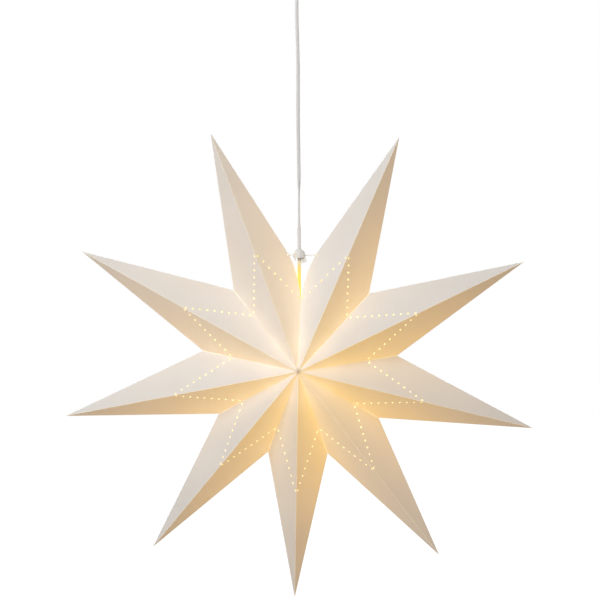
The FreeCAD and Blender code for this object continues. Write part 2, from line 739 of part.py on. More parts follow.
def terminal_block():
    low = V(BRACKET_LEG_WIDTH / 2 - 2.0, -BLOCK_FRONT, -BRACKET_THICKNESS - BLOCK_TALL)
    high = low + V(BLOCK_LENGTH, BLOCK_THICK, BLOCK_TALL)
    middle = (low.y + high.y) / 2
    waist = block(V(low.x - 1, middle - 1, low.z - 1), V(high.x + 1, middle + 1, low.z + BLOCK_WAIST))
    return block(low, high).cut(waist)


def terminal_screws():
    box = terminal_block().BoundBox
    screws = []
    for x in (box.XMin + BLOCK_SCREW_INSET, box.XMax - BLOCK_SCREW_INSET):
        for y in (box.YMin + BLOCK_THICK / 5, box.YMax - BLOCK_THICK / 5):
            screws.append(rod(V(x, y, box.ZMin - BLOCK_SCREW_HEAD), V(x, y, box.ZMin), BLOCK_SCREW_RADIUS))
    return screws


def tail_cores():
    """The two cores from the end of the cord to the terminal block."""
    top = saddle_z() + SADDLE_HEIGHT / 2 + TAIL_STUB
    box = terminal_block().BoundBox
    middle = (box.YMin + box.YMax) / 2
    cores = []
    for side in (1.0, -1.0):
        start = V(CORE_RADIUS, side * (CORE_RADIUS + 0.1), top - 0.5)
        target = V(box.XMin + 1.0, middle + side * CORE_SPREAD, box.ZMin + BLOCK_TALL / 2)
        cores.append(rod(start, target, CORE_RADIUS).cut(cord_tail()).cut(terminal_block()))
    return cores


# ---------------------------------------------------------------- build
def main():
    for number, layout in enumerate(point_layout(), start=1):
        save("point_" + str(number), star_point(number, layout))
    save("front_clip", [closing_clip(-HALF_DEPTH)])
    save("back_clip", [closing_clip(HALF_DEPTH)])
    save("corner_eyelets", [eyelet(1.0), eyelet(-1.0)])
    save("hanger_wire_left", [hanger_wire(-1.0)])
    save("hanger_wire_right", [hanger_wire(1.0)])
    save("lock_cap", [lock_cap()])
    save("lock_block", [lock_block()])
    save("lock_screw", [lock_screw()])
    save("pendant_cord", [pendant_cord()])
    save("holder_cap", [holder_cap()])
    save("holder_skirt", [holder_skirt()])
    save("holder_insert", [holder_insert()])
    save("screw_shell", [screw_shell()])
    save("centre_contact", [centre_contact()])
    save("holder_terminal_screws", [terminal_screw(1.0), terminal_screw(-1.0)])
    save("cord_grip", [cord_grip()])
    save("bulb_glass", [bulb_glass()])
    save("bulb_collar", [bulb_collar()])
    save("bulb_screw_cap", [bulb_screw_cap()])
    save("bulb_insulator", [bulb_insulator()])
    save("bulb_contact", [bulb_contact()])
    save("ceiling_bracket", [ceiling_bracket()])
    save("cord_saddle", [cord_saddle()])
    save("saddle_screws", saddle_screws())
    save("rose_screws", rose_screws())
    save("ceiling_rose", [ceiling_rose()])
    save("neck_bush", [neck_bush()])
    save("cord_tail", [cord_tail()])
    save("terminal_block", [terminal_block()])
    save("terminal_screws", terminal_screws())
    save("tail_cores", tail_cores())


main()
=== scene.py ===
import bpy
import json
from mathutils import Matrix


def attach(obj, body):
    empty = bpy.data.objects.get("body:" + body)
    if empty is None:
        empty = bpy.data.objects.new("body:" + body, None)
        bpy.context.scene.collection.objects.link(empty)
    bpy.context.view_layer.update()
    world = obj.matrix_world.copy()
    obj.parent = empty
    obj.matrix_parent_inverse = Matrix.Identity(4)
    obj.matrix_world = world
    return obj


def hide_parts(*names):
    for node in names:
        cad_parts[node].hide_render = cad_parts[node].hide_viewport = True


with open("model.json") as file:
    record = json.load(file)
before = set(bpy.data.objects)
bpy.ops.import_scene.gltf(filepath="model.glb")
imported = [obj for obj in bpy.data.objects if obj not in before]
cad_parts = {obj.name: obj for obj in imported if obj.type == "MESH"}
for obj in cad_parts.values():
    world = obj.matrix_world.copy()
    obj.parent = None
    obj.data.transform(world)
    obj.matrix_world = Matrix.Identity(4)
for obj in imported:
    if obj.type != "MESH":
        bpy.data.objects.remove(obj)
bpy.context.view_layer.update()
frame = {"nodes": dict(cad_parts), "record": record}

import json
import math

import bmesh
import bpy
from mathutils import Matrix, Vector
from mathutils.geometry import delaunay_2d_cdt

# A folded paper star on a flat flex, lit from inside, in metres. The star faces -Y and +Z is up.

# ---------------------------------------------------------------- sizes, as in the solids
TIP_RADIUS = 0.350
NOTCH_RADIUS = 0.140
HALF_DEPTH = 0.090
PAPER = 0.0004
BOTTOM_HALF_ANGLE = 18.0
HALF_ANGLE_STEP = 0.85
GAP_HALF_ANGLE = 7.0
GAP_CORNER_RADIUS = 0.155
FLAP_MEETING_RADIUS = 0.084
FLAP_CURVE_SWELL = 0.006
STAR_LEAN = 1.6
STAR_DROP = 0.590
GLUE_FLANGE = 0.012
FLANGE_END_GAP = 0.006
FLANGE_SLANT = 1.25
HOLE_RADIUS = 0.00165
HOLE_PITCH = 0.0104
RIDGE_SHARE = 0.525
TOP_RIDGE_SHARE = 0.49
VALLEY_SHARE = 0.68
SLIT_DOT_RADIUS = 0.092
TOP_POINTS = (1, 9)           # the two points beside the gap, which carry the end flaps

BULB_RADIUS = 0.0225
BULB_NECK_Z = 0.018
COLLAR_TOP_Z = 0.032
SCREW_CAP_TOP_Z = 0.052
SCREW_RADIUS = 0.007
ROSE_RADIUS = 0.042
ROSE_HEIGHT = 0.046
ROSE_RIM = 0.016
ROSE_TAPER = 0.009
ROSE_NOSE = 0.012
ROSE_NOSE_RADIUS = 0.012
ROSE_WALL = 0.002
BUSH_RADIUS = 0.007

CAP_RADIUS = 0.0085
CAP_WALL = 0.0013
CAP_HOLLOW = 0.007
CAP_BORE = 0.00275
CAP_BELOW_WIRE = 0.0036
LOCK_SCREW_HEIGHT = 0.009

# ---------------------------------------------------------------- sizes of the scene's own
HOLE_SIDES = 16
FREE_EDGE = 1.0               # stands for "no valley here" in the map of the folds
SHEET_STEP = 0.03
FLAP_STEPS = 14
FLANGE_INSET = 1.5 * PAPER
WELD = 1e-6
MESHING_GAP = 1e-7
RIM_SLACK = 0.98              # a triangle nearer a hole's middle than this share of its radius is cut
ANGLE_SLACK = 0.01

LATHE_SIDES = 96
GLOBE_BANDS = 40
THREAD_STEPS = 56
THREAD_PITCH = 0.0028
THREAD_DEPTH = 0.0006
BOSS_RADIUS = 0.0027
BOSS_SIDES = 32
# The dome of the lock's cap above its rim, as (radius, height), lower and rounder than in the solids.
CAP_DOME = [(0.0085, 0.0045), (0.0083, 0.0060), (0.0077, 0.0077), (0.0067, 0.0092), (0.0053, 0.0104),
            (0.0040, 0.0111), (0.0034, 0.0113), (0.0033, 0.0125)]

CORD_WIDTH = 0.0050
CORD_THICKNESS = 0.0029
CORD_SIDES = 20
CORD_WAIST = 0.22
CORD_WAIST_REACH = 0.55
CURVE_STEPS = 40
# The flex's route from the rose to the lamp holder, as (x, z), and how far it is turned on its own
# axis, as (z, degrees): its broad side faces the camera at 0 and 180, and its edge at 90.
CORD_ROUTE = [
    (0.0, -0.0449),
    (-0.0020, -0.084),
    (0.0004, -0.163),
    (-0.0005, -0.248),
    (0.0005, -0.318),
    (0.0, -0.384),
    (0.0, -0.495),
]
CORD_TWIST = [(-0.044, 8.0), (-0.325, 8.0), (-0.345, 88.0), (-0.388, 95.0), (-0.402, 172.0),
              (-0.495, 186.0)]

# ---------------------------------------------------------------- camera
# Fitted to the photograph, at a distance that is assumed.
CAMERA_DISTANCE = 1.575
CAMERA_ELEVATION = 8.67
CAMERA_AZIMUTH = 1.47
CAMERA_PITCH = 5.43
CAMERA_YAW = -1.44
CAMERA_ROLL = -0.37
FOCAL_PIXELS = 1091.2
FRAME_PIXELS = 600.0
SENSOR = 36.0
CLIP_START = 0.05
CLIP_END = 50.0

# ---------------------------------------------------------------- lamps, world and floor
STAR_CENTRE = Vector((0.0, 0.0, -STAR_DROP))
ON_STAR = Matrix.Translation(STAR_CENTRE) @ Matrix.Rotation(math.radians(STAR_LEAN), 4, "Y")
KEY_DIRECTION = Vector((-0.365, -0.768, 0.525))
KEY_DISTANCE = 2.5
KEY_SIZE = 1.2
KEY_POWER = 41.0
FILL_OFFSET = Vector((1.5, -1.3, 1.5))
FILL_SIZE = 1.6
FILL_POWER = 5.5
REAR_OFFSET = Vector((-1.1, 2.2, 1.1))
REAR_SIZE = 1.8
REAR_POWER = 14.0
NEUTRAL = (1.0, 0.99, 0.97)
WARM = (1.0, 0.95, 0.89)
COOL = (0.93, 0.96, 1.0)
WHITE = (1.0, 1.0, 1.0)
WORLD_LIGHT = 0.11
FLOOR_Z = -1.9
FLOOR_HALF = 6
FLOOR_TONE = (0.6, 0.6, 0.6)
# The floor is lifted to white for the rays that see it as background, a little less near the middle,
# where the shadow falls.
FLOOR_LIFT_NEAR = 0.74
FLOOR_LIFT_FAR = 1.0
FLOOR_NEAR = 1.6
FLOOR_FAR = 3.2

scene = bpy.context.scene


# ---------------------------------------------------------------- camera
def add_camera():
    azimuth = math.radians(CAMERA_AZIMUTH)
    elevation = math.radians(CAMERA_ELEVATION)
    back = Vector((
        math.sin(azimuth) * math.cos(elevation),
        -math.cos(azimuth) * math.cos(elevation),
        math.sin(elevation),
    ))
    yaw = math.radians(CAMERA_YAW)
    pitch = math.radians(CAMERA_PITCH)
    forward = Vector((math.sin(yaw) * math.cos(pitch), math.cos(yaw) * math.cos(pitch), -math.sin(pitch)))
    data = bpy.data.cameras.new("view_camera")
    data.sensor_width = SENSOR
    data.lens = FOCAL_PIXELS / FRAME_PIXELS * SENSOR
    data.clip_start = CLIP_START
    data.clip_end = CLIP_END
    camera = bpy.data.objects.new("view_camera", data)
    scene.collection.objects.link(camera)
    turn = forward.to_track_quat("-Z", "Y")
    roll = Matrix.Rotation(math.radians(CAMERA_ROLL), 4, "Z")
    place = Matrix.Translation(STAR_CENTRE + back * CAMERA_DISTANCE)
    camera.matrix_world = place @ turn.to_matrix().to_4x4() @ roll
    scene.camera = camera


# ---------------------------------------------------------------- small tools
def new_object(name, mesh):
    obj = bpy.data.objects.new(name, mesh)
    scene.collection.objects.link(obj)
    return obj


def mesh_from(name, vertices, faces):
    mesh = bpy.data.meshes.new(name)
    mesh.from_pydata([tuple(v) for v in vertices], [], faces)
    mesh.validate()
    mesh.update()
    return new_object(name, mesh)


def ray(angle, radius):
    turn = math.radians(angle)
    return Vector((radius * math.sin(turn), 0.0, radius * math.cos(turn)))


def face_outward(obj, weld=False):
    """Turns every face outward, after joining the points that fall together if asked."""
    mesh = bmesh.new()
    mesh.from_mesh(obj.data)
    if weld:
        bmesh.ops.remove_doubles(mesh, verts=mesh.verts, dist=WELD)
    bmesh.ops.recalc_face_normals(mesh, faces=mesh.faces)
    mesh.to_mesh(obj.data)
    mesh.free()


def shade_smooth(obj, angle=35.0):
    for polygon in obj.data.polygons:
        polygon.use_smooth = True
    obj.data.set_sharp_from_angle(angle=math.radians(angle))


# ---------------------------------------------------------------- node graphs
class Graph:
    """A material's node tree, with short calls to add nodes and join them."""

    def __init__(self, name):
        self.material = bpy.data.materials.new(name)
        self.material.use_nodes = True
        self.tree = self.material.node_tree
        self.tree.nodes.clear()
        self.output = self.tree.nodes.new("ShaderNodeOutputMaterial")

    def add(self, kind, **values):
        node = self.tree.nodes.new(kind)
        for key, value in values.items():
            setattr(node, key, value)
        return node

    def join(self, source, target):
        self.tree.links.new(source, target)

    def feed(self, socket, value):
        if isinstance(value, bpy.types.NodeSocket):
            self.join(value, socket)
        else:
            socket.default_value = value

    def math(self, operation, first, second):
        node = self.add("ShaderNodeMath", operation=operation)
        self.feed(node.inputs[0], first)
        self.feed(node.inputs[1], second)
        return node.outputs[0]

    def vector(self, operation, first, second=None):
        node = self.add("ShaderNodeVectorMath", operation=operation)
        self.feed(node.inputs[0], first)
        if second is not None:
            self.feed(node.inputs[1], second)
        gives_number = operation in ("LENGTH", "DOT_PRODUCT")
        return node.outputs["Value" if gives_number else "Vector"]

    def ramp(self, factor, stops):
        node = self.add("ShaderNodeValToRGB")
        elements = node.color_ramp.elements
        while len(elements) < len(stops):
            elements.new(0.5)
        for element, (place, colour) in zip(elements, stops):
            element.position = place
            element.color = (*colour, 1.0)
        self.feed(node.inputs["Fac"], factor)
        return node.outputs["Color"]

    def mix(self, factor, first, second, blend="MIX"):
        node = self.add("ShaderNodeMix", data_type="RGBA", blend_type=blend)
        self.feed(node.inputs[0], factor)
        self.feed(node.inputs[6], first)
        self.feed(node.inputs[7], second)
        return node.outputs[2]

    def noise(self, scale, detail, vector, roughness=0.5):
        node = self.add("ShaderNodeTexNoise")
        node.inputs["Scale"].default_value = scale
        node.inputs["Detail"].default_value = detail
        node.inputs["Roughness"].default_value = roughness
        self.join(vector, node.inputs["Vector"])
        return node.outputs["Fac"]

    def object_place(self):
        return self.add("ShaderNodeTexCoord").outputs["Object"]

    def bump(self, height, strength, distance):
        node = self.add("ShaderNodeBump")
        node.inputs["Strength"].default_value = strength
        node.inputs["Distance"].default_value = distance
        self.join(height, node.inputs["Height"])
        return node.outputs["Normal"]

    def spread(self, value, low, high, new_low, new_high):
        node = self.add("ShaderNodeMapRange", clamp=True)
        self.feed(node.inputs["Value"], value)
        node.inputs["From Min"].default_value = low
        node.inputs["From Max"].default_value = high
        node.inputs["To Min"].default_value = new_low
        node.inputs["To Max"].default_value = new_high
        return node.outputs["Result"]

    def grey(self, value):
        node = self.add("ShaderNodeCombineColor")
        for socket in node.inputs:
            self.feed(socket, value)
        return node.outputs["Color"]

    def surface(self, shader):
        self.join(shader, self.output.inputs["Surface"])
        return self.material


# ---------------------------------------------------------------- materials
# The card's emission, from near the centre to the tips: outside on a face turned away from the key
# light, outside on a face turned to it, and inside.
GLOW_SHADED = [(0.0, (0.64, 0.37, 0.06)), (0.08, (0.57, 0.31, 0.015)), (0.30, (0.49, 0.26, 0.015)),
               (0.63, (0.41, 0.22, 0.04)), (1.0, (0.30, 0.17, 0.04))]
GLOW_LIT = [(0.0, (0.20, 0.10, 0.02)), (0.08, (0.11, 0.045, 0.0)), (0.30, (0.06, 0.022, 0.0)),
            (0.63, (0.08, 0.040, 0.010)), (1.0, (0.06, 0.03, 0.01))]
GLOW_INSIDE = [(0.0, (0.46, 0.38, 0.20)), (0.4, (0.42, 0.33, 0.13)), (1.0, (0.38, 0.27, 0.08))]
REACH_FROM = 0.04             # distances from the star's axis between which the two outside ramps run
REACH_TO = 0.34
FOLD_LINE = 0.0003            # distances from a fold between which its bright line fades out
FOLD_FADE = 0.0012
FLEX_LIT_FROM = 0.090         # distances from the star's centre between which the flex's light fades
FLEX_LIT_TO = 0.155
DRAWN_MARKS = (60.0, 60.0, 900.0)


def paper_material():
    """White card with a fibre grain. An emission stands for the bulb's light in the card: more on
    the faces away from the key light, more near the centre, and most along the folds. The inner side
    has its own, paler one."""
    g = Graph("paper")
    coordinates = g.add("ShaderNodeTexCoord")
    place = coordinates.outputs["Object"]
    normal = coordinates.outputs["Normal"]
    fibre = g.noise(900.0, 4.0, place, 0.6)
    cloud = g.noise(14.0, 3.0, place)
    tone = g.ramp(cloud, [(0.30, (0.83, 0.83, 0.81)), (0.70, (0.87, 0.865, 0.85))])
    grain = g.ramp(fibre, [(0.35, (0.965, 0.965, 0.965)), (0.65, (1.0, 1.0, 1.0))])
    colour = g.mix(1.0, tone, grain, "MULTIPLY")

    from_lamp = g.vector("SUBTRACT", place, tuple(STAR_CENTRE))
    distance = g.vector("LENGTH", from_lamp)
    outward = g.math("GREATER_THAN", g.vector("DOT_PRODUCT", from_lamp, normal), 0.0)
    lit_share = g.spread(g.vector("DOT_PRODUCT", normal, tuple(KEY_DIRECTION)), 0.05, 0.92, 0.0, 1.0)
    off_axis = g.vector("LENGTH", g.vector("MULTIPLY", from_lamp, (1.0, 0.0, 1.0)))
    reach = g.spread(off_axis, REACH_FROM, REACH_TO, 0.0, 1.0)
    shaded = g.ramp(reach, GLOW_SHADED)
    lit = g.ramp(reach, GLOW_LIT)
    glow = g.mix(lit_share, shaded, lit)
    uneven = g.ramp(g.noise(9.0, 2.0, place), [(0.3, (0.93, 0.93, 0.93)), (0.7, (1.06, 1.06, 1.06))])
    glow = g.mix(1.0, glow, uneven, "MULTIPLY")

    folds = g.add("ShaderNodeSeparateXYZ")
    g.join(g.add("ShaderNodeUVMap", uv_map="folds").outputs["UV"], folds.inputs[0])
    from_ridge = folds.outputs["X"]
    from_valley = folds.outputs["Y"]
    valley_shade = g.spread(from_ridge, 0.0, 0.05, 0.90, 1.06)
    glow = g.mix(1.0, glow, g.grey(valley_shade), "MULTIPLY")
    ridge_line = g.spread(from_ridge, FOLD_LINE, FOLD_FADE, 0.12, 0.0)
    valley_line = g.math("MULTIPLY", g.spread(from_valley, FOLD_LINE, FOLD_FADE, 0.20, 0.0),
                         g.spread(distance, 0.09, 0.125, 0.15, 1.0))
    fold_lines = g.grey(g.math("ADD", ridge_line, valley_line))
    fold_light = g.mix(1.0, fold_lines, (1.0, 0.80, 0.45, 1.0), "MULTIPLY")
    glow = g.mix(1.0, glow, fold_light, "ADD")
    # The card and its glow are darker within a few millimetres of the star's axis, where the points meet.
    darker_apex = g.grey(g.spread(off_axis, 0.001, 0.006, 0.55, 1.0))
    glow = g.mix(1.0, glow, darker_apex, "MULTIPLY")
    colour = g.mix(1.0, colour, darker_apex, "MULTIPLY")

    inside = g.ramp(g.spread(distance, 0.05, 0.30, 0.0, 1.0), GLOW_INSIDE)
    bsdf = g.add("ShaderNodeBsdfPrincipled")
    g.join(colour, bsdf.inputs["Base Color"])
    bsdf.inputs["Roughness"].default_value = 0.86
    bsdf.inputs["Specular IOR Level"].default_value = 0.2
    g.join(g.bump(fibre, 0.25, 0.0002), bsdf.inputs["Normal"])
    g.join(g.mix(outward, inside, glow), bsdf.inputs["Emission Color"])
    bsdf.inputs["Emission Strength"].default_value = 1.0
    return g.surface(bsdf.outputs["BSDF"])


def plastic_material(name, tone, roughness=0.42):
    """Moulded plastic: fine surface texture and slightly uneven gloss."""
    g = Graph(name)
    place = g.object_place()
    fine = g.noise(500.0, 3.0, place)
    cloud = g.noise(30.0, 2.0, place)
    darker = tuple(channel * 0.93 for channel in tone)
    colour = g.ramp(cloud, [(0.3, darker), (0.7, tone)])
    bsdf = g.add("ShaderNodeBsdfPrincipled")
    g.join(colour, bsdf.inputs["Base Color"])
    g.join(g.spread(fine, 0.3, 0.7, roughness - 0.06, roughness + 0.08), bsdf.inputs["Roughness"])
    g.join(g.bump(fine, 0.12, 0.0002), bsdf.inputs["Normal"])
    return g.surface(bsdf.outputs["BSDF"])


def metal_material(name, tone, roughness=0.30):
    """Plated metal with fine drawn marks that run level."""
    g = Graph(name)
    place = g.vector("MULTIPLY", g.object_place(), DRAWN_MARKS)
    marks = g.noise(6.0, 4.0, place)
    colour = g.ramp(marks, [(0.3, tuple(channel * 0.82 for channel in tone)), (0.7, tone)])
    bsdf = g.add("ShaderNodeBsdfPrincipled")
    bsdf.inputs["Metallic"].default_value = 1.0
    g.join(colour, bsdf.inputs["Base Color"])
    g.join(g.spread(marks, 0.3, 0.7, roughness - 0.08, roughness + 0.12), bsdf.inputs["Roughness"])
    g.join(g.bump(marks, 0.15, 0.0001), bsdf.inputs["Normal"])
    return g.surface(bsdf.outputs["BSDF"])


def flex_material():
    """Pale sheathed flex. A yellow tint and emission stand for the bulb's light below the lock."""
    g = Graph("silver_flex")
    place = g.object_place()
    fine = g.noise(700.0, 3.0, place)
    tone = g.ramp(fine, [(0.3, (0.76, 0.75, 0.74)), (0.7, (0.88, 0.87, 0.86))])
    distance = g.vector("LENGTH", g.vector("SUBTRACT", place, tuple(STAR_CENTRE)))
    reach = g.spread(distance, FLEX_LIT_FROM, FLEX_LIT_TO, 0.0, 1.0)
    glow = g.ramp(reach, [(0.0, (0.50, 0.38, 0.06)), (0.70, (0.34, 0.25, 0.03)), (0.90, (0.0, 0.0, 0.0))])
    tint = g.ramp(reach, [(0.70, (0.90, 0.72, 0.24)), (0.90, WHITE)])
    tone = g.mix(1.0, tone, tint, "MULTIPLY")
    bsdf = g.add("ShaderNodeBsdfPrincipled")
    g.join(tone, bsdf.inputs["Base Color"])
    bsdf.inputs["Roughness"].default_value = 0.32
    bsdf.inputs["Coat Weight"].default_value = 0.4
    bsdf.inputs["Coat Roughness"].default_value = 0.2
    g.join(g.bump(fine, 0.08, 0.0001), bsdf.inputs["Normal"])
    g.join(glow, bsdf.inputs["Emission Color"])
    bsdf.inputs["Emission Strength"].default_value = 0.8
    return g.surface(bsdf.outputs["BSDF"])


def lit_glass_material():
    """The frosted globe, lit: palest at its lower end and warmer towards the neck."""
    g = Graph("frosted_glass")
    place = g.object_place()
    fine = g.noise(400.0, 3.0, place)
    colour = g.ramp(fine, [(0.3, (0.95, 0.93, 0.88)), (0.7, (0.99, 0.97, 0.93))])
    height = g.vector("DOT_PRODUCT", place, (0.0, 0.0, 1.0))
    from_foot = g.spread(height, -STAR_DROP - BULB_RADIUS, -STAR_DROP + BULB_NECK_Z, 0.0, 1.0)
    glow = g.ramp(from_foot, [(0.0, (1.0, 0.86, 0.62)), (1.0, (1.0, 0.72, 0.40))])
    bsdf = g.add("ShaderNodeBsdfPrincipled")
    g.join(colour, bsdf.inputs["Base Color"])
    bsdf.inputs["Roughness"].default_value = 0.45
    g.join(glow, bsdf.inputs["Emission Color"])
    bsdf.inputs["Emission Strength"].default_value = 1.6
    return g.surface(bsdf.outputs["BSDF"])


# ---------------------------------------------------------------- paper star
def point_layout():
    """Each point as (left seam, tip, right seam) angles, from the top right one clockwise."""
    halves = [BOTTOM_HALF_ANGLE + HALF_ANGLE_STEP * step for step in range(5)]
    spare = 180.0 - GAP_HALF_ANGLE - halves[0] - 2 * sum(halves[1:4]) - halves[4]
    right = []
    angle = GAP_HALF_ANGLE
    for left_half, right_half in [(spare, halves[4]), *[(half, half) for half in reversed(halves[1:4])]]:
        right.append((angle, angle + left_half, angle + left_half + right_half))
        angle += left_half + right_half
    lowest = (angle, 180.0, 360.0 - angle)
    left = [(360.0 - c, 360.0 - b, 360.0 - a) for a, b, c in reversed(right)]
    return right + [lowest] + left


class Plane:
    """A panel's own flat coordinates, with u along its ridge and v away from it."""

    def __init__(self, apex, tip, root):
        self.origin = apex
        self.u = (tip - apex).normalized()
        self.normal = (tip - apex).cross(root - apex).normalized()
        self.v = self.normal.cross(self.u)
        if self.v.dot(root - apex) < 0:
            self.v = -self.v
        if self.normal.dot(apex) < 0:
            self.normal = -self.normal

    def flat(self, point):
        offset = point - self.origin
        return Vector((offset.dot(self.u), offset.dot(self.v)))

    def solid(self, flat):
        return self.origin + self.u * flat.x + self.v * flat.y


def flap_edge(plane, apex, corner):
    """The curved free edge of an end flap in its plane, from where the two flaps meet up to near the
    gap's corner, and the point at the corner's height on the line where they would meet."""
    normal = plane.normal
    slit_top = Vector((0.0, apex.y - normal.z * corner.z / normal.y, corner.z))
    meeting = apex + (slit_top - apex) * (FLAP_MEETING_RADIUS / slit_top.z)
    chord = corner - meeting
    swell = (slit_top - meeting) - chord * ((slit_top - meeting).dot(chord) / chord.dot(chord))
    swell.normalize()
    middle = meeting + chord * 0.5 + swell * FLAP_CURVE_SWELL
    points = []
    for step in range(1, FLAP_STEPS):
        share = step / FLAP_STEPS
        # a parabola through the three points of the solids' arc
        bow = 4.0 * share * (1.0 - share)
        points.append(meeting + chord * share + (middle - meeting - chord * 0.5) * bow)
    return [meeting] + points, slit_top


def dot_centres(start, end, count):
    return [start + (end - start) * ((index + 0.5) / count) for index in range(count)]


def circle(centre, radius, sides):
    turns = [2 * math.pi * i / sides for i in range(sides)]
    return [centre + Vector((math.cos(turn), math.sin(turn))) * radius for turn in turns]


def middle_of(points):
    return sum(points, Vector((0, 0))) / len(points)


def holed_sheet(outline, holes):
    """Vertices and triangles of a flat outline with round holes in it."""
    points = list(outline)
    edges = [(i, (i + 1) % len(outline)) for i in range(len(outline))]
    for rim in holes:
        first = len(points)
        points += rim
        edges += [(first + i, first + (i + 1) % len(rim)) for i in range(len(rim))]
    faces = [list(range(len(outline)))]
    made = delaunay_2d_cdt(points, edges, faces, 1, MESHING_GAP)
    vertices, triangles = made[0], made[2]
    centres = [middle_of(rim) for rim in holes]
    radii = [(rim[0] - centre).length for rim, centre in zip(holes, centres)]
    kept = []
    for triangle in triangles:
        middle = middle_of([vertices[i] for i in triangle])
        if all((middle - centre).length > radius * RIM_SLACK for centre, radius in zip(centres, radii)):
            kept.append(list(triangle))
    return vertices, kept


def outline_with_steps(corners, longest):
    """The corners with points between them, so that no triangle has a very long side."""
    points = []
    for here, there in zip(corners, corners[1:] + corners[:1]):
        steps = max(1, math.ceil((there - here).length / longest))
        points += [here + (there - here) * (step / steps) for step in range(steps)]
    return points


def add_panel(mesh, apex, tip, root, is_flap, ridge_share):
    """Adds one face of a point to the bmesh, as a sheet of card with an outer and an inner side."""
    plane = Plane(apex, tip, root)
    shrink = 1.0 - PAPER / abs(plane.normal.dot(apex))
    start = apex + (tip - apex) * ridge_share
    if is_flap:
        edge, slit_top = flap_edge(plane, apex, root)
        corners = [plane.flat(p) for p in [apex, *edge, root, tip]]
        end = apex + (slit_top - apex) * (SLIT_DOT_RADIUS / slit_top.z)
        count = round((end - start).length / HOLE_PITCH) - 1
    else:
        corners = [plane.flat(p) for p in (apex, root, tip)]
        end = apex + (root - apex) * VALLEY_SHARE
        count = round((end - start).length / HOLE_PITCH)
    outline = outline_with_steps(corners, SHEET_STEP)
    dots = dot_centres(start, end, count)
    holes = [circle(plane.flat(centre), HOLE_RADIUS, HOLE_SIDES) for centre in dots]
    flat, triangles = holed_sheet(outline, holes)
    valley = corners[1].normalized()
    folds = mesh.loops.layers.uv["folds"]
    outer = [mesh.verts.new(plane.solid(point)) for point in flat]
    inner = [mesh.verts.new(vertex.co * shrink) for vertex in outer]
    from_folds = {}
    for point, *pair in zip(flat, outer, inner):
        for vertex in pair:
            from_valley = FREE_EDGE if is_flap else abs(point.x * valley.y - point.y * valley.x)
            from_folds[vertex] = (abs(point.y), from_valley)
    edges = {}
    made = []
    for triangle in triangles:
        for a, b in zip(triangle, [*triangle[1:], triangle[0]]):
            edges.setdefault((min(a, b), max(a, b)), []).append((a, b))
        made.append(mesh.faces.new([outer[i] for i in triangle]))
        made.append(mesh.faces.new([inner[i] for i in reversed(triangle)]))
    for pairs in edges.values():
        if len(pairs) == 1:
            a, b = pairs[0]
            made.append(mesh.faces.new([outer[b], outer[a], inner[a], inner[b]]))
    for face in made:
        for loop in face.loops:
            loop[folds].uv = from_folds[loop.vert]


def add_flange(mesh, apex, seam_end, toward_tip):
    """Adds the glue flange that is folded in along a seam."""
    along = (seam_end - apex).normalized()
    length = (seam_end - apex).length
    across = along.cross(Vector((seam_end.x, 0.0, seam_end.z))).cross(along).normalized()
    if across.y * apex.y > 0:
        across = -across
    start = apex + along * FLANGE_END_GAP + across * FLANGE_INSET
    end = apex + along * (length - FLANGE_END_GAP) + across * FLANGE_INSET
    slant = along * (GLUE_FLANGE * FLANGE_SLANT)
    corners = [start, end, end + across * GLUE_FLANGE - slant, start + across * GLUE_FLANGE + slant]
    near = [mesh.verts.new(corner) for corner in corners]
    far = [mesh.verts.new(corner + toward_tip * PAPER) for corner in corners]
    mesh.faces.new(near)
    mesh.faces.new(far[::-1])
    for i in range(4):
        j = (i + 1) % 4
        mesh.faces.new([near[j], near[i], far[i], far[j]])


def paper_point(number, layout, material):
    left, tip_angle, right = layout
    is_top = number in TOP_POINTS
    tip = ray(tip_angle, TIP_RADIUS)
    sheet = bmesh.new()
    sheet.loops.layers.uv.new("folds")
    for depth in (-HALF_DEPTH, HALF_DEPTH):
        apex = Vector((0.0, depth, 0.0))
        for seam in (left, right):
            beside_gap = is_top and min(seam, 360.0 - seam) < GAP_HALF_ANGLE + ANGLE_SLACK
            if beside_gap:
                corner = ray(seam, GAP_CORNER_RADIUS)
                add_panel(sheet, apex, tip, corner, True, TOP_RIDGE_SHARE)
                seam_end = flap_edge(Plane(apex, tip, corner), apex, corner)[0][0]
                toward_tip = Vector((math.copysign(1.0, corner.x), 0.0, 0.0))
            else:
                seam_end = ray(seam, NOTCH_RADIUS)
                add_panel(sheet, apex, tip, seam_end, False, TOP_RIDGE_SHARE if is_top else RIDGE_SHARE)
                toward_tip = ray(seam + 90.0, 1.0) * math.copysign(1.0, tip_angle - seam)
            add_flange(sheet, apex, seam_end, toward_tip)
    bmesh.ops.recalc_face_normals(sheet, faces=sheet.faces)
    sheet.transform(ON_STAR)
    data = bpy.data.meshes.new("paper_point_" + str(number))
    sheet.to_mesh(data)
    sheet.free()
    data.materials.append(material)
    dress(new_object(data.name, data), "shade", "point_" + str(number))


# ---------------------------------------------------------------- turned pieces
def dress(obj, body, node):
    """The object moves with the body and stands in for the node's solid."""
    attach(obj, body)
    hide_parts(node)


def lathe(name, profile, base_z, material, closed=False):
    """A round piece from (radius, height) points, from its axis or as a ring."""
    vertices = []
    for step in range(LATHE_SIDES):
        turn = 2 * math.pi * step / LATHE_SIDES
        for radius, height in profile:
            if callable(radius):
                radius = radius(turn)
            vertices.append((radius * math.cos(turn), radius * math.sin(turn), base_z + height))
    count = len(profile)
    faces = []
    for step in range(LATHE_SIDES):
        here = step * count
        there = (step + 1) % LATHE_SIDES * count
        for i in range(count if closed else count - 1):
            j = (i + 1) % count
            faces.append((here + i, there + i, there + j, here + j))
    obj = mesh_from(name, vertices, faces)
    face_outward(obj, weld=True)
    obj.data.materials.append(material)
    shade_smooth(obj)
    return obj


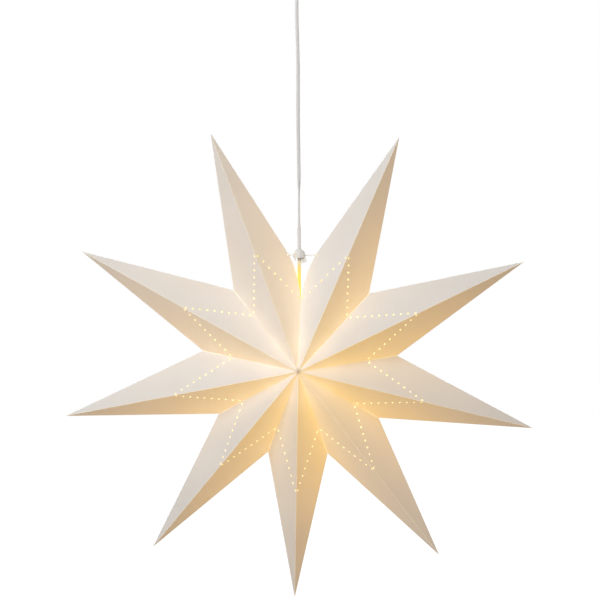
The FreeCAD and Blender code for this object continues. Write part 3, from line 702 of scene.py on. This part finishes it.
def bulb_globe(material):
    neck = math.asin(BULB_NECK_Z / BULB_RADIUS)
    profile = []
    for band in range(GLOBE_BANDS + 1):
        height = -math.pi / 2 + (neck + math.pi / 2) * band / GLOBE_BANDS
        profile.append((BULB_RADIUS * math.cos(height), BULB_RADIUS * math.sin(height)))
    profile.append((0.0, BULB_NECK_Z))
    dress(lathe("globe", profile, -STAR_DROP, material), "bulb", "bulb_glass")


def bulb_thread(material):
    """The bulb's screw cap with its round thread."""
    length = SCREW_CAP_TOP_Z - COLLAR_TOP_Z

    def wave(height):
        fade = min(1.0, height / THREAD_PITCH, (length - height) / THREAD_PITCH)
        return lambda turn: SCREW_RADIUS - THREAD_DEPTH * fade * (
            0.5 - 0.5 * math.cos(2 * math.pi * height / THREAD_PITCH - turn))

    profile = [(0.0, COLLAR_TOP_Z)]
    for step in range(THREAD_STEPS + 1):
        height = length * step / THREAD_STEPS
        profile.append((wave(height), COLLAR_TOP_Z + height))
    profile.append((0.0, SCREW_CAP_TOP_Z))
    dress(lathe("threaded_cap", profile, -STAR_DROP, material), "bulb", "bulb_screw_cap")


def rose_profile(inset):
    radius = ROSE_RADIUS - inset
    nose = -ROSE_HEIGHT + inset
    nose_start = (radius - ROSE_TAPER, nose + ROSE_NOSE)
    return [(radius, 0.0), (radius, -ROSE_RIM), nose_start, (ROSE_NOSE_RADIUS, nose), (BUSH_RADIUS, nose)]


def round_rose(material):
    profile = rose_profile(0.0) + rose_profile(ROSE_WALL)[::-1]
    rose = lathe("round_rose", profile, 0.0, material, closed=True)
    dress(rose, "ceiling", "ceiling_rose")


def lock_dome(material):
    """The cap of the lock, with a boss on its far side for the lock's screw."""
    corner_z = GAP_CORNER_RADIUS * math.cos(math.radians(GAP_HALF_ANGLE))
    wire_z = corner_z / math.cos(math.radians(STAR_LEAN))
    base = wire_z - CAP_BELOW_WIRE - STAR_DROP
    inner = CAP_RADIUS - CAP_WALL
    top = CAP_DOME[-1][1]
    outside = [(CAP_RADIUS, 0.0), *CAP_DOME]
    profile = outside + [(CAP_BORE, top), (CAP_BORE, CAP_HOLLOW), (inner, CAP_HOLLOW), (inner, 0.0)]
    dome = lathe("lock_dome", profile, base, material, closed=True)
    mesh = bmesh.new()
    mesh.from_mesh(dome.data)
    rims = []
    for y in (CAP_DOME[-1][0], CAP_RADIUS):
        rims.append([mesh.verts.new((x, y, base + LOCK_SCREW_HEIGHT + z))
                     for x, z in circle(Vector((0.0, 0.0)), BOSS_RADIUS, BOSS_SIDES)])
    for i in range(BOSS_SIDES):
        j = (i + 1) % BOSS_SIDES
        mesh.faces.new([rims[0][i], rims[0][j], rims[1][j], rims[1][i]])
    mesh.faces.new(rims[0][::-1])
    mesh.faces.new(rims[1])
    bmesh.ops.recalc_face_normals(mesh, faces=mesh.faces)
    mesh.to_mesh(dome.data)
    mesh.free()
    shade_smooth(dome)
    dress(dome, "lock", "lock_cap")


# ---------------------------------------------------------------- flex
def route_curve():
    data = bpy.data.curves.new("route", "CURVE")
    data.dimensions = "3D"
    data.resolution_u = CURVE_STEPS
    spline = data.splines.new("NURBS")
    spline.points.add(len(CORD_ROUTE) - 1)
    for point, (x, z) in zip(spline.points, CORD_ROUTE):
        point.co = (x, 0.0, z, 1.0)
    spline.order_u = 3
    spline.use_endpoint_u = True
    return bpy.data.objects.new("route", data)


def twist_at(z):
    for (z0, a0), (z1, a1) in zip(CORD_TWIST, CORD_TWIST[1:]):
        if z1 <= z <= z0:
            share = (z0 - z) / (z0 - z1)
            share = share * share * (3 - 2 * share)
            return math.radians(a0 + (a1 - a0) * share)
    return math.radians(CORD_TWIST[-1][1])


def flex_section():
    """Two round cores side by side in one sheath, as (across, through) points."""
    core = CORD_THICKNESS / 2
    offset = CORD_WIDTH / 2 - core
    points = []
    for index in range(CORD_SIDES):
        turn = 2 * math.pi * index / CORD_SIDES
        x = math.cos(turn)
        y = math.sin(turn)
        centre = offset if x > 0 else -offset
        across = centre + core * x
        waist = 1.0 - CORD_WAIST * math.exp(-(across / (offset * CORD_WAIST_REACH)) ** 2)
        points.append((across, core * y * waist))
    return points


def pendant_flex(material):
    route = route_curve()
    line = bpy.data.meshes.new_from_object(route)
    path = [v.co.copy() for v in line.vertices]
    if path[0].z < path[-1].z:
        path.reverse()
    section = flex_section()
    vertices = []
    faces = []
    for place in path:
        twist = twist_at(place.z)
        across = Vector((math.cos(twist), math.sin(twist), 0.0))
        through = Vector((-math.sin(twist), math.cos(twist), 0.0))
        vertices += [place + across * a + through * b for a, b in section]
    sides = len(section)
    for ring in range(len(path) - 1):
        for side in range(sides):
            a = ring * sides + side
            b = ring * sides + (side + 1) % sides
            faces.append((a, b, b + sides, a + sides))
    faces.append(tuple(range(sides)))
    faces.append(tuple(reversed(range(len(vertices) - sides, len(vertices)))))
    flex = mesh_from("flat_flex", vertices, faces)
    face_outward(flex)
    flex.data.materials.append(material)
    shade_smooth(flex, 60.0)
    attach(flex, "drop")
    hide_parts("pendant_cord")


# ---------------------------------------------------------------- stage and light
def background_rays(tree):
    """One for a ray that is to see the background white, and else nought."""
    rays = tree.nodes.new("ShaderNodeLightPath").outputs
    seen = rays["Is Camera Ray"]
    for kind in ("Is Glossy Ray", "Is Transmission Ray"):
        either = tree.nodes.new("ShaderNodeMath")
        either.operation = "MAXIMUM"
        tree.links.new(seen, either.inputs[0])
        tree.links.new(rays[kind], either.inputs[1])
        seen = either.outputs[0]
    return seen


def camera_white(name, tone):
    """A pale surface that keeps the star's shadow, and is lifted to white away from it."""
    g = Graph(name)
    diffuse = g.add("ShaderNodeBsdfDiffuse")
    diffuse.inputs["Color"].default_value = (*tone, 1.0)
    from_middle = g.vector("LENGTH", g.vector("MULTIPLY", g.object_place(), (1.0, 1.0, 0.0)))
    lift = g.add("ShaderNodeEmission")
    lift.inputs["Color"].default_value = (*WHITE, 1.0)
    amount = g.spread(from_middle, FLOOR_NEAR, FLOOR_FAR, FLOOR_LIFT_NEAR, FLOOR_LIFT_FAR)
    g.join(g.math("MULTIPLY", background_rays(g.tree), amount), lift.inputs["Strength"])
    both = g.add("ShaderNodeAddShader")
    g.join(diffuse.outputs["BSDF"], both.inputs[0])
    g.join(lift.outputs["Emission"], both.inputs[1])
    return g.surface(both.outputs["Shader"])


def add_world():
    world = bpy.data.worlds.new("studio")
    scene.world = world
    world.use_nodes = True
    tree = world.node_tree
    tree.nodes.clear()
    output = tree.nodes.new("ShaderNodeOutputWorld")
    soft = tree.nodes.new("ShaderNodeBackground")
    soft.inputs["Color"].default_value = (*COOL, 1.0)
    soft.inputs["Strength"].default_value = WORLD_LIGHT
    white = tree.nodes.new("ShaderNodeBackground")
    white.inputs["Color"].default_value = (*WHITE, 1.0)
    white.inputs["Strength"].default_value = 1.0
    mix = tree.nodes.new("ShaderNodeMixShader")
    tree.links.new(background_rays(tree), mix.inputs[0])
    tree.links.new(soft.outputs[0], mix.inputs[1])
    tree.links.new(white.outputs[0], mix.inputs[2])
    tree.links.new(mix.outputs[0], output.inputs["Surface"])


def add_area(name, offset, size, power, tone):
    """A square lamp that looks at the star's centre."""
    data = bpy.data.lights.new(name, "AREA")
    data.shape = "SQUARE"
    data.size = size
    data.energy = power
    data.color = tone
    light = bpy.data.objects.new(name, data)
    scene.collection.objects.link(light)
    place = STAR_CENTRE + offset
    light.location = place
    light.rotation_euler = (STAR_CENTRE - place).to_track_quat("-Z", "Y").to_euler()


def add_floor():
    half = FLOOR_HALF
    corners = [(x, y, FLOOR_Z) for x, y in ((-half, -half), (half, -half), (half, half), (-half, half))]
    floor = mesh_from("floor", corners, [(0, 1, 2, 3)])
    floor.data.materials.append(camera_white("pale_floor", FLOOR_TONE))


# ---------------------------------------------------------------- build
add_camera()
materials = {
    "paper": paper_material(),
    "zinc_steel": metal_material("zinc_steel", (0.74, 0.74, 0.72)),
    "white_plastic": plastic_material("white_plastic", (0.86, 0.85, 0.82)),
    "silver_flex": flex_material(),
    "core_sheath": plastic_material("core_sheath", (0.30, 0.16, 0.08), 0.35),
    "brass": metal_material("brass", (0.80, 0.72, 0.56), 0.34),
    "nickel": metal_material("nickel", (0.80, 0.79, 0.76), 0.22),
    "insulator": plastic_material("insulator", (0.84, 0.82, 0.77), 0.6),
    "dark_glass": plastic_material("dark_glass", (0.03, 0.03, 0.035), 0.15),
    "frosted_glass": lit_glass_material(),
}
pendant_flex(materials["silver_flex"])

for part in frame["record"]["subparts"]:
    node = frame["nodes"][part["node"]]
    node.data.materials.clear()
    node.data.materials.append(materials[part["material_slot"]])
    shade_smooth(node)

for number, layout in enumerate(point_layout(), start=1):
    paper_point(number, layout, materials["paper"])
bulb_globe(materials["frosted_glass"])
bulb_thread(materials["nickel"])
round_rose(materials["white_plastic"])
lock_dome(materials["white_plastic"])

add_world()
add_floor()
add_area("key", KEY_DIRECTION * KEY_DISTANCE, KEY_SIZE, KEY_POWER, NEUTRAL)
add_area("fill", FILL_OFFSET, FILL_SIZE, FILL_POWER, WARM)
add_area("rear", REAR_OFFSET, REAR_SIZE, REAR_POWER, NEUTRAL)
scene.view_settings.view_transform = "Standard"
